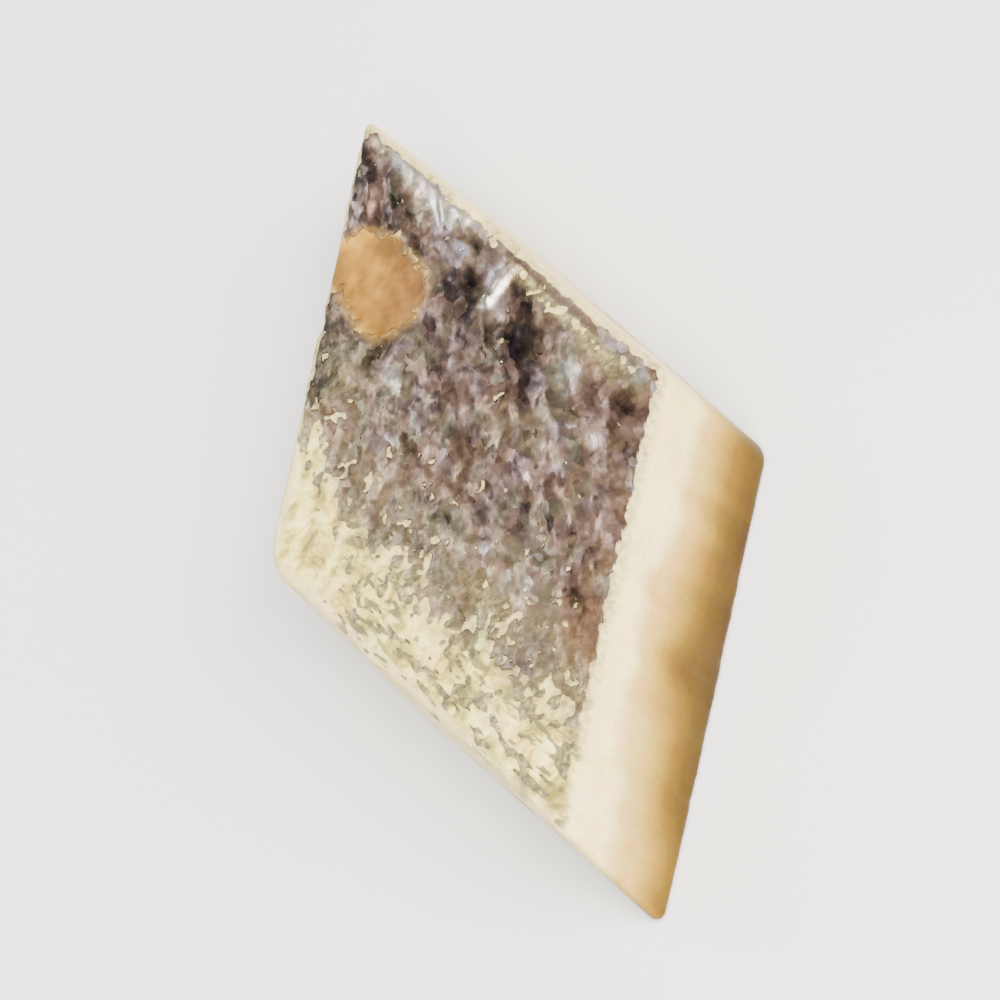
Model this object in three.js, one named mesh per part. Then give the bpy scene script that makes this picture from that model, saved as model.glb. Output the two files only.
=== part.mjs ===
// One piece of cashew barfi: a slab of smooth cashew paste, rolled out, dressed with beaten silver leaf
// and cut with a knife into diamonds. The leaf clings to the paste, so paste and leaf are one solid.
// Millimetres. The piece lies flat, leaf side up: +Z is up through its thickness, +Y runs along the long
// diagonal to the far point, +X points to the right-hand corner, and the origin is the centre of the base.
import * as THREE from "three";

// Driving dimensions of the cut
const RIGHT_SIDE = 36.5; // from the far point to the right-hand corner
const LEFT_SIDE = 34; // from the far point to the left-hand corner
const POINT_ANGLE = THREE.MathUtils.degToRad(53.5); // between those two sides
const THICKNESS = 11.2;

// The knife never cuts a true diamond: how far each corner strays, in the order far, right, near, left
const CORNER_STRAY = [
  [0.1, 0.5],
  [0.1, -0.15],
  [-0.2, 0.6],
  [0.1, -0.1],
];
// Corner rounding, as a share of half a side: the two points stay sharp and the wide corners are blunt
const CORNER_ROUND = [0.06, 0.05, 0.07, 0.12];
// How far the foot of each side stands out past its top, as the knife leans: the far right side first,
// then the near right, near left and far left
const FOOT_LEAN = [0.35, 2, 0.5, 0.1];

const TOP_EDGE_RADIUS = 0.6; // the knife drags leaf and paste down over the top edge
const FOOT_RADIUS = 0.6;
const BELLY = 0.22; // the soft paste swells a little half way up each side
const EDGE_SAG = 0.4; // the top drops this far from the middle to the rim
const EDGE_SAG_POWER = 5; // and does so mostly close to the rim
const SIDE_WAVE = 0.14; // slow wander of the knife along a side
const SIDE_WAVE_RATE = [2.3, 1.6]; // its turns per unit of the walk and over the height
const SIDE_WAVE_START = 11;
const DRAG_MARK = 0.06; // upright marks that the blade leaves on a side
const DRAG_MARK_RATE = [17, 1.5]; // their turns, in the same way
const DRAG_MARK_START = 3;

// Relief of the dressed face
const ROLL_SWELL = 0.2; // slow swell left by the rolling pin
const ROLL_SWELL_SPAN = [6.5, 9]; // millimetres for each radian of it, across and along the face
const ROLL_SWELL_START = [0.8, -0.4];
const GRAIN_HEIGHT = 0.17; // cashew grain and crumpled leaf
const GRAIN_SIZE = 1.9;
const FINE_GRAIN_RATE = 2.1; // how many times finer and how much lower the second size of grain is
const FINE_GRAIN_SHARE = 0.5;
const FINE_GRAIN_START = 7;
const RIM_CALM = 0.45; // share of the relief that the knife has pressed flat at the rim
const RIM_CALM_POWER = 8;
const CREASE_HALF_WIDTH = 0.8;

// Folds in the leaf, as shares of the right-hand and left-hand sides counted from the far point:
// start, end and height
const CREASES = [
  [0.54, 0.03, 0.44, 0.25, 0.3],
  [0.1, 0.05, 0.36, 0.04, 0.26],
  [0.05, 0.1, 0.09, 0.22, 0.24],
  [0.3, 0.34, 0.52, 0.5, 0.16],
  [0.7, 0.2, 0.86, 0.42, 0.18],
  [0.6, 0.62, 0.8, 0.55, 0.16],
];
// Short grooves pressed in beside the near left-hand side
const PRESS_MARKS = [
  [0.3, 0.9, 0.44, 0.88, -0.2],
  [0.5, 0.93, 0.68, 0.9, -0.22],
  [0.62, 0.84, 0.74, 0.82, -0.16],
];
// The smooth place that the leaf missed, as three soft discs: right share, left share and half width
const BARE_SPOTS = [
  [0.2, 0.31, 2.9],
  [0.135, 0.285, 2.8],
  [0.07, 0.29, 2.2],
];
const BARE_DEPTH = 0.22;
const BARE_POWER = 4; // how sharply a disc ends

// Fineness of the mesh
const CELLS = 44; // across each side of the top
const TOP_EDGE_ROWS = 3;
const SIDE_ROWS = 6;
const FOOT_ROWS = 2;

// The four corners of the cut, and a point of the slab from -1 to 1 across each pair of sides
const longDiagonal = Math.sqrt(
  RIGHT_SIDE ** 2 + LEFT_SIDE ** 2 + 2 * RIGHT_SIDE * LEFT_SIDE * Math.cos(POINT_ANGLE),
);
const halfWidth = (RIGHT_SIDE * LEFT_SIDE * Math.sin(POINT_ANGLE)) / longDiagonal;
const rightReach = longDiagonal / 2 - Math.sqrt(RIGHT_SIDE ** 2 - halfWidth ** 2);
const corners = [
  [0, longDiagonal / 2],
  [halfWidth, rightReach],
  [0, -longDiagonal / 2],
  [-halfWidth, -rightReach],
].map(([x, y], i) => new THREE.Vector2(x + CORNER_STRAY[i][0], y + CORNER_STRAY[i][1]));

function between([far, right, near, left], p, q) {
  const weights = [
    [far, (1 - p) * (1 - q)],
    [right, (1 + p) * (1 - q)],
    [near, (1 + p) * (1 + q)],
    [left, (1 - p) * (1 + q)],
  ];
  return weights.reduce((sum, [corner, w]) => sum.addScaledVector(corner, w / 4), new THREE.Vector2());
}

// The corners once each side of the cut is moved inwards by its own inset
function insetCorners(insets) {
  const sides = corners.map((corner, i) => {
    const along = corners[(i + 1) % 4].clone().sub(corner).normalize();
    const outwards = new THREE.Vector2(-along.y, along.x);
    return { through: corner.clone().addScaledVector(outwards, -insets[i]), along };
  });
  return sides.map((side, i) => {
    const previous = sides[(i + 3) % 4];
    const gap = side.through.clone().sub(previous.through);
    const share = gap.cross(side.along) / previous.along.cross(side.along);
    return previous.through.clone().addScaledVector(previous.along, share);
  });
}

// The rounded outline as a walk s from 0 to 8: two units for each side, from the far point to the right,
// near and left-hand corners and back
function walkPoint(s, cut) {
  const side = Math.floor(s / 2) % 4;
  const along = s - 2 * Math.floor(s / 2) - 1;
  const startRound = CORNER_ROUND[side];
  const endRound = CORNER_ROUND[(side + 1) % 4];
  let point = [along, -1];
  if (along < -1 + startRound) {
    const turn = (1 - (along + 1) / startRound) * (Math.PI / 4);
    point = [-1 + startRound * (1 - Math.sin(turn)), -1 + startRound * (1 - Math.cos(turn))];
  } else if (along > 1 - endRound) {
    const turn = (1 - (1 - along) / endRound) * (Math.PI / 4);
    point = [1 - endRound * (1 - Math.sin(turn)), -1 + endRound * (1 - Math.cos(turn))];
  }
  for (let i = 0; i < side; i++) point = [-point[1], point[0]];
  return between(cut, point[0], point[1]);
}

function walkNormal(s) {
  const side = Math.floor(s / 2) % 4;
  const along = corners[(side + 1) % 4].clone().sub(corners[side]).normalize();
  return new THREE.Vector2(-along.y, along.x);
}

// Value noise from -1 to 1, the same on every run
function lattice(i, j) {
  const raw = Math.sin(i * 127.1 + j * 311.7) * 43758.5453;
  return 2 * (raw - Math.floor(raw)) - 1;
}

function noise(x, y) {
  const [i, j] = [Math.floor(x), Math.floor(y)];
  const [u, v] = [x - i, y - j].map((t) => t * t * (3 - 2 * t));
  const near = lattice(i, j) * (1 - u) + lattice(i + 1, j) * u;
  const far = lattice(i, j + 1) * (1 - u) + lattice(i + 1, j + 1) * u;
  return near * (1 - v) + far * v;
}

// A soft ridge, or a groove where the height is negative, between two points given as shares of the sides
function ridge(x, y, [rightA, leftA, rightB, leftB, height]) {
  const start = between(corners, 2 * rightA - 1, 2 * leftA - 1);
  const run = between(corners, 2 * rightB - 1, 2 * leftB - 1).sub(start);
  const reach = new THREE.Vector2(x, y).sub(start);
  const share = THREE.MathUtils.clamp(reach.dot(run) / run.lengthSq(), 0, 1);
  const away = reach.addScaledVector(run, -share).length() / CREASE_HALF_WIDTH;
  return height * Math.exp(-away * away);
}

// 1 on the place that the leaf missed, 0 away from it
function bareness(x, y) {
  const dressed = BARE_SPOTS.map(([right, left, halfWidth]) => {
    const spot = between(corners, 2 * right - 1, 2 * left - 1);
    return 1 - Math.exp(-((Math.hypot(x - spot.x, y - spot.y) / halfWidth) ** BARE_POWER));
  });
  return 1 - dressed.reduce((product, share) => product * share, 1);
}

function faceRelief(x, y) {
  const across = x / ROLL_SWELL_SPAN[0] + ROLL_SWELL_START[0];
  const along = y / ROLL_SWELL_SPAN[1] + ROLL_SWELL_START[1];
  const swell = ROLL_SWELL * Math.sin(across) * Math.cos(along);
  const [i, j] = [x / GRAIN_SIZE, y / GRAIN_SIZE];
  const fineGrain = noise(FINE_GRAIN_RATE * i + FINE_GRAIN_START, FINE_GRAIN_RATE * j);
  const grain = noise(i, j) + FINE_GRAIN_SHARE * fineGrain;
  const folds = [...CREASES, ...PRESS_MARKS].reduce((sum, line) => sum + ridge(x, y, line), 0);
  const bare = bareness(x, y);
  return swell + GRAIN_HEIGHT * grain * (1 - bare) + folds - BARE_DEPTH * bare;
}

// How far the side stands out at a share of the height, 0 at the foot and 1 at the top
function sideSwell(s, share) {
  const cornerFade = Math.sin((Math.PI * (s % 2)) / 2);
  const belly = BELLY * Math.sin(Math.PI * share);
  const wave = noise(s * SIDE_WAVE_RATE[0] + SIDE_WAVE_START, share * SIDE_WAVE_RATE[1]);
  const drag = noise(s * DRAG_MARK_RATE[0], share * DRAG_MARK_RATE[1] + DRAG_MARK_START);
  return (belly + SIDE_WAVE * wave + DRAG_MARK * drag) * cornerFade;
}

// Top height at a point of the face: rho is 0 in the middle and 1 where the rounded edge begins
function topHeight(x, y, rho) {
  const sag = EDGE_SAG * rho ** EDGE_SAG_POWER;
  return THICKNESS - sag + faceRelief(x, y) * (1 - RIM_CALM * rho ** RIM_CALM_POWER);
}

function slabGeometry() {
  const positions = [];
  const faces = [];
  const ringSize = 4 * CELLS;
  const addPoint = (x, y, z) => positions.push(x, y, z) / 3 - 1;
  const addQuad = (a, b, c, d) => faces.push(a, b, c, a, c, d);

  // The top is a square grid pulled out to the rounded rim ring by ring
  const rimCut = insetCorners([TOP_EDGE_RADIUS, TOP_EDGE_RADIUS, TOP_EDGE_RADIUS, TOP_EDGE_RADIUS]);
  const top = [];
  for (let row = 0; row <= CELLS; row++) {
    top.push([]);
    for (let column = 0; column <= CELLS; column++) {
      const [p, q] = [(2 * column) / CELLS - 1, (2 * row) / CELLS - 1];
      const rho = Math.max(Math.abs(p), Math.abs(q));
      const spot = walkPoint(rho === 0 ? 0 : walkOf(p / rho, q / rho), rimCut).multiplyScalar(rho);
      top[row].push(addPoint(spot.x, spot.y, topHeight(spot.x, spot.y, rho)));
    }
  }
  for (let row = 0; row < CELLS; row++) {
    for (let column = 0; column < CELLS; column++) {
      addQuad(top[row + 1][column], top[row + 1][column + 1], top[row][column + 1], top[row][column]);
    }
  }
  const rim = [];
  for (let i = 0; i < CELLS; i++) rim.push(top[0][i]);
  for (let i = 0; i < CELLS; i++) rim.push(top[i][CELLS]);
  for (let i = 0; i < CELLS; i++) rim.push(top[CELLS][CELLS - i]);
  for (let i = 0; i < CELLS; i++) rim.push(top[CELLS - i][0]);

  // Rings over the top edge, down the side and round the foot, each at a share of the side's height
  const rings = [rim];
  const shoulderOf = (k) => positions[3 * rim[k] + 2] - TOP_EDGE_RADIUS;
  const addRing = (inset, share, heightOf) => {
    const cut = insetCorners(FOOT_LEAN.map((lean) => inset - lean * (1 - share)));
    const ring = [];
    for (let k = 0; k < ringSize; k++) {
      const s = (8 * k) / ringSize;
      const swell = sideSwell(s, share) * (1 - inset / TOP_EDGE_RADIUS);
      const spot = walkPoint(s, cut).addScaledVector(walkNormal(s), swell);
      ring.push(addPoint(spot.x, spot.y, heightOf(k)));
    }
    rings.push(ring);
  };
  for (let row = 1; row <= TOP_EDGE_ROWS; row++) {
    const turn = (row / TOP_EDGE_ROWS) * (Math.PI / 2);
    const rise = TOP_EDGE_RADIUS * Math.cos(turn);
    addRing(TOP_EDGE_RADIUS * (1 - Math.sin(turn)), 1, (k) => shoulderOf(k) + rise);
  }
  for (let row = 1; row <= SIDE_ROWS; row++) {
    const share = 1 - row / SIDE_ROWS;
    addRing(0, share, (k) => FOOT_RADIUS + (shoulderOf(k) - FOOT_RADIUS) * share);
  }
  for (let row = 1; row <= FOOT_ROWS; row++) {
    const turn = (row / FOOT_ROWS) * (Math.PI / 2);
    addRing(FOOT_RADIUS * (1 - Math.cos(turn)), 0, () => FOOT_RADIUS * (1 - Math.sin(turn)));
  }
  for (let r = 0; r + 1 < rings.length; r++) {
    for (let k = 0; k < ringSize; k++) {
      const next = (k + 1) % ringSize;
      addQuad(rings[r][k], rings[r][next], rings[r + 1][next], rings[r + 1][k]);
    }
  }

  // The flat base
  const base = rings[rings.length - 1];
  const outline = base.map((i) => new THREE.Vector2(positions[3 * i], positions[3 * i + 1]));
  for (const [a, b, c] of THREE.ShapeUtils.triangulateShape(outline, [])) {
    faces.push(base[a], base[c], base[b]);
  }

  const geometry = new THREE.BufferGeometry();
  geometry.setAttribute("position", new THREE.Float32BufferAttribute(positions, 3));
  geometry.setIndex(faces);
  geometry.computeVertexNormals();
  return geometry;
}

// Where on the walk a point of the square's rim lies
function walkOf(p, q) {
  if (q === -1 && p < 1) return p + 1;
  if (p === 1 && q < 1) return 3 + q;
  if (q === 1 && p > -1) return 5 - p;
  return 7 - q;
}

// The strays and swells shift the box a little, so the slab is set back over the origin
function centredOnBase(geometry) {
  geometry.computeBoundingBox();
  const { min, max } = geometry.boundingBox;
  geometry.translate(-(min.x + max.x) / 2, -(min.y + max.y) / 2, -min.z);
  return geometry;
}

const cashewAndLeaf = new THREE.MeshStandardMaterial({ color: 0xb9afa4, roughness: 0.4, metalness: 0.35 });

const slab = new THREE.Mesh(centredOnBase(slabGeometry()), cashewAndLeaf);
slab.name = "barfi_slab";

const barfi = new THREE.Group();
barfi.add(slab);

export default barfi;
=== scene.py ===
"""One diamond of cashew barfi dressed with beaten silver leaf, lying leaf side up on a pale table."""
import math

import bpy
import numpy as np
from mathutils import Matrix, Vector


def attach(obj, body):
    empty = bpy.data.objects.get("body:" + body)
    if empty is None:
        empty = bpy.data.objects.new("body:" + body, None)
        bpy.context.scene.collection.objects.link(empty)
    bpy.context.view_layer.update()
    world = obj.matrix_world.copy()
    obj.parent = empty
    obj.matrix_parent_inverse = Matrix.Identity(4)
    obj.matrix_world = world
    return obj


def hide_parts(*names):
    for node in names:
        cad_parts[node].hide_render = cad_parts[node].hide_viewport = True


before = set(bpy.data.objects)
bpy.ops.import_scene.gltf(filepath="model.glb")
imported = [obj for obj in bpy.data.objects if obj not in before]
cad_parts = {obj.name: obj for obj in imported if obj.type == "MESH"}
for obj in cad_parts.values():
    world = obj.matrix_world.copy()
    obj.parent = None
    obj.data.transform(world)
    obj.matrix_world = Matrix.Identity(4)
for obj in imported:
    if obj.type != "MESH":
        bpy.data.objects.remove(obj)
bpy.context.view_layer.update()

MM = 0.001

# Form of the cut slab, in millimetres: the same named sizes as the solid
RIGHT_SIDE = 36.5
LEFT_SIDE = 34.0
POINT_ANGLE = math.radians(53.5)
THICKNESS = 11.2
CORNER_STRAY = np.array([[0.1, 0.5], [0.1, -0.15], [-0.2, 0.6], [0.1, -0.1]])
CORNER_ROUND = np.array([0.06, 0.05, 0.07, 0.12])
FOOT_LEAN = np.array([0.35, 2.0, 0.5, 0.1])
TOP_EDGE_RADIUS = 0.6
FOOT_RADIUS = 0.6
BELLY = 0.22
EDGE_SAG = 0.4
SIDE_WAVE = 0.14
DRAG_MARK = 0.06
ROLL_SWELL = 0.2
GRAIN_HEIGHT = 0.17
GRAIN_SIZE = 1.9
CREASE_HALF_WIDTH = 0.8
CREASES = [
    (0.54, 0.03, 0.44, 0.25, 0.3),
    (0.1, 0.05, 0.36, 0.04, 0.26),
    (0.05, 0.1, 0.09, 0.22, 0.24),
    (0.3, 0.34, 0.52, 0.5, 0.16),
    (0.7, 0.2, 0.86, 0.42, 0.18),
    (0.6, 0.62, 0.8, 0.55, 0.16),
]
PRESS_MARKS = [
    (0.3, 0.9, 0.44, 0.88, -0.2),
    (0.5, 0.93, 0.68, 0.9, -0.22),
    (0.62, 0.84, 0.74, 0.82, -0.16),
]
# The smooth place that the leaf missed, as three soft discs: right share, left share, half width
BARE_SPOTS = [(0.2, 0.31, 2.9), (0.135, 0.285, 2.8), (0.07, 0.29, 2.2)]
BARE_DEPTH = 0.22
BARE_POWER = 4
EDGE_SAG_POWER = 5
RIM_CALM = 0.45
RIM_CALM_POWER = 8
ROLL_SWELL_SPAN = (6.5, 9)
ROLL_SWELL_START = (0.8, -0.4)
FINE_GRAIN_RATE = 2.1
FINE_GRAIN_SHARE = 0.5
FINE_GRAIN_START = 7
SIDE_WAVE_RATE = (2.3, 1.6)
SIDE_WAVE_START = 11
DRAG_MARK_RATE = (17, 1.5)
DRAG_MARK_START = 3

# Detail too fine for the solid. Cashew beads on the face: height, size, turn of their lattice
GRAIN_BEADS = ((0.042, 0.95, 0.6), (0.024, 0.52, 1.9), (0.012, 0.3, 2.7))
BARE_SMOOTHING = 0.6
# Upright streaks of the blade: depth, rate and start along the walk, rate and start up the side
BLADE_STREAKS = ((0.022, 46, 5, 0.22, 0), (0.012, 110, 0, 0.5, 9))
# Pits in the sides, and bites out of the top edge with the roughness between them
PIT_DEPTH = 0.16
PIT_RATE = (21, 1.15)
PIT_START = 3
PIT_RARITY = 0.52
BITE_DEPTH = 0.34
BITE_RATE = 8.5
BITE_START = (40, 2.5)
BITE_RARITY = 0.25
RIM_ROUGHNESS = 0.05
RIM_ROUGHNESS_RATE = 30
RIM_ROUGHNESS_START = 8.1
CRUMBLE_FROM = 0.8

# Fineness of the visible skins
FACE_CELLS = 220
EDGE_ROWS = 8
SIDE_ROWS = 34
FOOT_ROWS = 5
BASE_RINGS = (0.96, 0.85, 0.65, 0.45, 0.25, 0.1)
LEAF_CELLS = 216
# How far the leaf's grid runs past the rim, as a share of half a side
LEAF_OVERHANG = 0.045
# The sheet's own thickness, thicker than real leaf so that it is a sound mesh, and its height over the paste
LEAF_THICKNESS = 0.02
LEAF_LIFT = 0.035
# How near to a point of the grid the sheet is cut, as a share of a cell, and the fewest faces of a scrap
CUT_CLEARANCE = 0.06
LEAST_SCRAP = 5

# Where the leaf is thin or missing: the middle as shares of the right-hand and left-hand sides, the half
# width and half height as such shares, and how much of it is missing
THIN_PLACES = [
    (0.1, -0.012, 0.2, 0.02, 1.5),
    (0.36, 0.01, 0.06, 0.02, 0.9),
    (0.56, 0.046, 0.06, 0.012, 0.5),
    (0.68, 0.06, 0.1, 0.016, 0.42),
    (0.78, 0.008, 0.22, 0.016, 0.55),
    (0.46, 0.03, 0.05, 0.018, 0.4),
    (0.84, 0.06, 0.1, 0.018, 0.36),
    (0.4, 0.105, 0.03, 0.012, 0.3),
    (0.0, 0.9, 0.12, 0.17, 0.6),
]
THIN_POWER = 1.5
# Share of the left-hand side against share of the leaf that is left there
SHEET_FADE = (
    (0.0, 0.999),
    (0.5, 0.995),
    (0.66, 0.955),
    (0.74, 0.84),
    (0.79, 0.5),
    (0.84, 0.27),
    (0.92, 0.15),
    (1.0, 0.08),
)
# How far below the right-hand corner's line the sheet ends, along the right-hand side
SHEET_END = ((0.0, 0.11), (0.08, 0.08), (0.2, 0.01), (0.35, 0.03), (0.57, 0.01), (0.8, -0.01), (1.0, 0.01))
# How far the sheet's torn end wanders: reach, rate and start along the right-hand side
SHEET_WANDER = ((0.014, 7, 3.3), (0.01, 19, 8.8))
PATCH_WANDER = 0.04
PATCH_RATE = (13, 12)
PATCH_START = 2
# The hem along the near right edge, where the sheet holds up to its own torn end
HEM_STRENGTH = 0.3
HEM_BAND = (0.93, 0.99)
HEM_END = (0.68, 0.84)
# Tears: size in millimetres and turn of the lattice
TEARS = ((0.6, 0.4), (0.65, 1.9))
TONGUES = (0.8, 1.1)
TONGUE_LENGTH = 1.3
TONGUE_START = 0.8
FRAY = (0.38, 1.3)
FRAY_SHARE = 0.4
# Dashes of leaf past the sheet's end: length along the rolling, width across it, start, share
DASHES = ((1.5, 0.4, (0, 2), 1.0), (0.8, 0.28, (4, 0), 0.7))
DASHES_SHARE = 0.8
DASHES_CALM = 0.6
PAST_END = (0.84, 0.92)
PAST_CORNER = (0.12, 0.3)
# The ragged rim of the sheet: reach, rate and start along the walk
RIM_RAGS = ((0.006, 14, 4.4), (0.008, 41, 7.2))
RIM_BAND = (0.994, 1 + 0.3 * LEAF_OVERHANG)
RIM_LOSS = 1.6
# The frayed edge of the leaf round the bare place: reach, size, turn of the lattice
BARE_FRAY = ((0.2, 1.1, 0.7), (0.16, 0.45, 1.7))
BARE_BAND = (0.1, 0.9)
BARE_LOSS = 1.3
# Narrow pleats where the leaf folded over itself: start, end as shares of the two sides, height
PLEATS = [
    (0.535, 0.05, 0.49, 0.15, 0.26),
    (0.49, 0.15, 0.505, 0.24, 0.2),
    (0.29, 0.04, 0.31, 0.075, 0.24),
    (0.563, 0.14, 0.556, 0.21, 0.2),
    (0.05, 0.02, 0.37, 0.03, 0.16),
    (0.13, 0.08, 0.16, 0.16, 0.16),
    (0.07, 0.12, 0.085, 0.17, 0.18),
    (0.3, 0.43, 0.305, 0.5, 0.18),
]
PLEAT_HALF_WIDTH = 0.42
# Blisters of the crumpled leaf: height, size, turn of the lattice
BLISTERS = ((0.024, 1.6, 0.9), (0.0144, 0.8, 2.0), (0.012, 0.42, 0.2))

# Soft places on the leaf, each with its middle as shares of the right-hand and left-hand sides, its half
# width and half height as such shares, and its strength. First painted highlights, lighter leaf where it
# glints
PAINTED_GLINTS = [
    # Along the far right edge
    (0.72, 0.012, 0.22, 0.014, 1.0),
    (0.18, 0.03, 0.06, 0.016, 1.6),
    (0.35, 0.03, 0.08, 0.02, 0.9),
    (0.94, 0.03, 0.1, 0.06, 0.9),
    (0.2, 0.035, 0.16, 0.03, 1.6),
    (0.82, 0.035, 0.05, 0.014, 0.8),
    (0.3, 0.057, 0.03, 0.026, 3.6),
    (0.68, 0.058, 0.12, 0.014, 0.8),
    (0.36, 0.06, 0.12, 0.05, 0.9),
    (0.88, 0.06, 0.09, 0.02, 0.8),
    # The far half of the face
    (0.51, 0.09, 0.018, 0.03, 2.4),
    (0.39, 0.1, 0.03, 0.018, 1.6),
    (0.3, 0.12, 0.07, 0.03, 0.4),
    (0.495, 0.125, 0.02, 0.03, 2.6),
    (0.75, 0.13, 0.05, 0.04, 0.9),
    (0.077, 0.146, 0.025, 0.022, 1.8),
    (0.53, 0.17, 0.02, 0.06, 1.2),
    (0.475, 0.175, 0.026, 0.03, 1.6),
    (0.76, 0.2, 0.05, 0.03, 0.9),
    (0.854, 0.238, 0.03, 0.02, 1.2),
    (0.8, 0.29, 0.1, 0.06, 0.7),
    # The near half of the face, down to the torn end
    (0.98, 0.3, 0.05, 0.5, 0.6),
    (0.26, 0.45, 0.035, 0.03, 1.8),
    (0.96, 0.46, 0.06, 0.08, 0.5),
    (0.7, 0.57, 0.12, 0.06, 0.5),
    (0.65, 0.62, 0.07, 0.035, 0.7),
    (0.85, 0.62, 0.07, 0.04, 0.7),
    (0.77, 0.63, 0.07, 0.04, 0.7),
]
# Painted dark reflections, darker leaf where it turns a dull, dark side to the eye
PAINTED_DARK_REFLECTIONS = [
    # Along the far right edge
    (0.06, -0.01, 0.02, 0.015, 1.2),
    (0.455, 0.018, 0.03, 0.008, 0.7),
    (0.083, 0.02, 0.02, 0.014, 1.5),
    (0.97, 0.022, 0.025, 0.014, 1.3),
    (0.02, 0.047, 0.03, 0.035, 0.8),
    # The far half of the face
    (0.41, 0.072, 0.022, 0.016, 1.7),
    (0.05, 0.085, 0.026, 0.03, 1.1),
    (0.13, 0.085, 0.03, 0.04, 1.0),
    (0.58, 0.087, 0.04, 0.022, 1.2),
    (0.97, 0.11, 0.02, 0.03, 1.6),
    (0.184, 0.125, 0.03, 0.025, 1.0),
    (0.04, 0.13, 0.05, 0.04, 1.1),
    (0.6, 0.13, 0.06, 0.05, 0.9),
    (0.905, 0.13, 0.04, 0.04, 0.9),
    (0.425, 0.15, 0.04, 0.06, 1.2),
    (0.14, 0.16, 0.04, 0.022, 1.3),
    (0.24, 0.165, 0.04, 0.02, 0.8),
    (0.59, 0.2, 0.08, 0.06, 0.9),
    (0.36, 0.21, 0.05, 0.03, 0.6),
    (0.5, 0.21, 0.12, 0.04, 1.0),
    (0.65, 0.29, 0.05, 0.035, 0.7),
    # The near half of the face, down to the torn end
    (0.4, 0.31, 0.12, 0.06, 0.5),
    (0.1, 0.45, 0.16, 0.16, 0.7),
    (0.04, 0.47, 0.05, 0.05, 0.7),
    (0.706, 0.47, 0.018, 0.03, 1.3),
    (0.876, 0.549, 0.025, 0.025, 1.3),
    (0.04, 0.55, 0.06, 0.08, 1.0),
    (0.595, 0.557, 0.025, 0.02, 1.4),
    (0.45, 0.62, 0.05, 0.035, 1.2),
    (0.495, 0.625, 0.03, 0.012, 1.4),
    (0.97, 0.63, 0.04, 0.04, 0.6),
    (0.6, 0.705, 0.35, 0.035, 0.5),
    (0.344, 0.751, 0.02, 0.015, 1.1),
    (0.45, 0.775, 0.02, 0.015, 1.1),
]
# Places where the leaf has tarnished warmer or, below 0, stayed cooler than elsewhere, in the same form
WARM_PLACES = [
    (0.95, 0.6, 0.1, 0.11, 0.9),
    (0.95, 0.4, 0.08, 0.1, 0.3),
    (0.86, 0.1, 0.1, 0.04, 0.6),
    (0.65, 0.7, 0.08, 0.04, 1.0),
    (0.1, 0.6, 0.08, 0.06, 0.6),
    (0.46, 0.16, 0.12, 0.09, -0.8),
    (0.74, 0.24, 0.08, 0.06, -0.5),
    (0.28, 0.42, 0.06, 0.05, -0.6),
]
# Places where the leaf is rubbed so thin that the paste shows, in the same form
WORN_PLACES = [
    (0.82, 0.085, 0.09, 0.03, 0.7),
    (0.66, 0.062, 0.11, 0.018, 0.7),
    (0.74, 0.012, 0.24, 0.02, 0.6),
    (0.67, 0.71, 0.07, 0.05, 0.5),
    (0.12, 0.52, 0.08, 0.08, 0.4),
    (0.95, 0.72, 0.12, 0.09, 0.35),
    (0.5, 0.7, 0.6, 0.1, 0.3),
]
# The worn end of the sheet: where it starts and ends as shares of the leaf that is left, and its strength
FADING_BAND = (0.35, 0.9)
MOST_WORN = 0.9
# The yellow-tan fringe of the leaf round the bare place, carrying its tan, partly painted warm bounce light
FRINGE_BAND = (0.03, 0.34)
FRINGE_STRENGTH = 0.9
FRINGE_DRIFT = 0.5
FRINGE_DRIFT_SIZE = 0.8

# Where the paste changes colour. How far below its own height the face still counts as face
FACE_BAND = (-1.2, -0.6)
# The grey bloom under the leaf, against the share of leaf that is left
BLOOM_BAND = (0.2, 0.8)
# The bare place, its tan partly painted warm bounce light: how it sets in, and from where along the
# right-hand side it browns
GOLDEN_BAND = (0.03, 0.45)
GOLDEN_DRIFT = 0.3
BROWNER_BAND = (0.04, 0.28)
BROWNER_DRIFT = 0.03
DRIFT_SIZE = 1.4
DRIFT_START = 3
# The edge of the face to the rolled skin inside it, in millimetres from the nearest side
ROLLED_BAND = (0.5, 1.4)
# The strip past the sheet's end that keeps dark dashes
MARGIN_BAND = (0.74, 0.84)
MARGIN_END = (0.985, 1.01)
DASHED_BAND = (-0.5, 0.3)
DASHED_SIZE = 2.5
DASHED_START = 9
# The golden foot, painted shade and painted reflection of a gold tray: weaker on the three sides other than
# the near right-hand one, wider towards the near corner as painted shade. The golden foot: weaker on the
# three sides that the photograph doesn't show, wider towards the near corner
HIDDEN_FOOT = 0.72
SHOWN_BAND = (0.955, 1)
FOOT_CLIMB = 0.14
FOOT_CLIMB_END = 0.5
# How its upper edge drifts and waves
FOOT_DRIFT = 0.05
FOOT_WAVE = 0.07
FOOT_WAVE_SIZE = 5
FOOT_WAVE_HEIGHT = 4

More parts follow.
